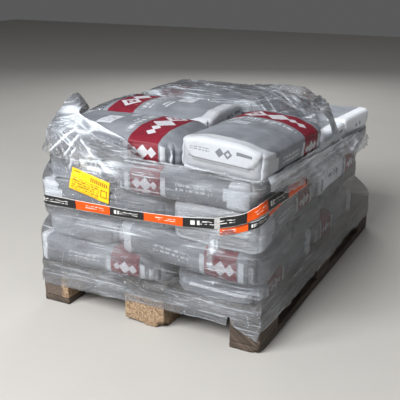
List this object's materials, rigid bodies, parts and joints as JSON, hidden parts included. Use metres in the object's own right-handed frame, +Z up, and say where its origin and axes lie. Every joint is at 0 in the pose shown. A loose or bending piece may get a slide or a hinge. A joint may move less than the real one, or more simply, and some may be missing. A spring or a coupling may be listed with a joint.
{
  "type": "loaded pallet of sacks",
  "caption": "Wooden pallet stacked with paper sacks in crossed layers, held by torn stretch film and a band of packing tape.",
  "frame": {"origin": "on the floor, under the middle of the pallet", "axes": "+Z up, -Y out of the 800 mm front end, +X to the right seen from the front, Y along the 1200 mm sides"},
  "size_m": [0.8545, 1.2459, 0.6678],
  "materials": {
    "sack_paper": "smooth printed kraft paper, mid grey with a white end and a dark red band, wrinkled",
    "pallet_wood": "rough sawn softwood, weathered grey-brown, dirty at the lower edges",
    "chipboard": "pressed wood-chip block, coarse and crumbling at one corner",
    "stretch_film": "thin clear stretch film, glossy, with stretch lines and creases",
    "packing_tape": "glossy printed tape, black with orange lengths between thin white bars",
    "yellow_sticker": "bright yellow coated paper with thin orange lines"
  },
  "bodies": {
    "root": {"block_front_centre": "chipboard", "block_front_left": "chipboard", "block_front_right": "pallet_wood", "block_middle_centre": "pallet_wood", "block_middle_left": "pallet_wood", "block_middle_right": "pallet_wood", "block_rear_centre": "pallet_wood", "block_rear_left": "pallet_wood", "block_rear_right": "pallet_wood", "bottom_board_centre": "pallet_wood", "bottom_board_left": "pallet_wood", "bottom_board_right": "pallet_wood", "cross_board_front": "pallet_wood", "cross_board_middle": "pallet_wood", "cross_board_rear": "pallet_wood", "deck_board_1": "pallet_wood", "deck_board_2": "pallet_wood", "deck_board_3": "pallet_wood", "deck_board_4": "pallet_wood", "deck_board_5": "pallet_wood", "packing_tape": "packing_tape", "packing_tape_second_turn": "packing_tape", "sack_1_across_1": "sack_paper", "sack_1_across_2": "sack_paper", "sack_1_across_3": "sack_paper", "sack_1_across_4": "sack_paper", "sack_1_along_1": "sack_paper", "sack_1_along_2": "sack_paper", "sack_2_across_1": "sack_paper", "sack_2_across_2": "sack_paper", "sack_2_across_3": "sack_paper", "sack_2_across_4": "sack_paper", "sack_2_along_1": "sack_paper", "sack_2_along_2": "sack_paper", "sack_3_across_1": "sack_paper", "sack_3_across_2": "sack_paper", "sack_3_across_3": "sack_paper", "sack_3_across_4": "sack_paper", "sack_3_along_1": "sack_paper", "sack_3_along_2": "sack_paper", "sack_4_across_1": "sack_paper", "sack_4_across_2": "sack_paper", "sack_4_across_3": "sack_paper", "sack_4_across_4": "sack_paper", "sack_4_along_1": "sack_paper", "sack_4_along_2": "sack_paper", "sack_5_across_1": "sack_paper", "sack_5_across_2": "sack_paper", "sack_5_across_3": "sack_paper", "sack_5_along_1": "sack_paper", "stretch_film": "stretch_film", "yellow_sticker": "yellow_sticker"}
  },
  "joints": []
}
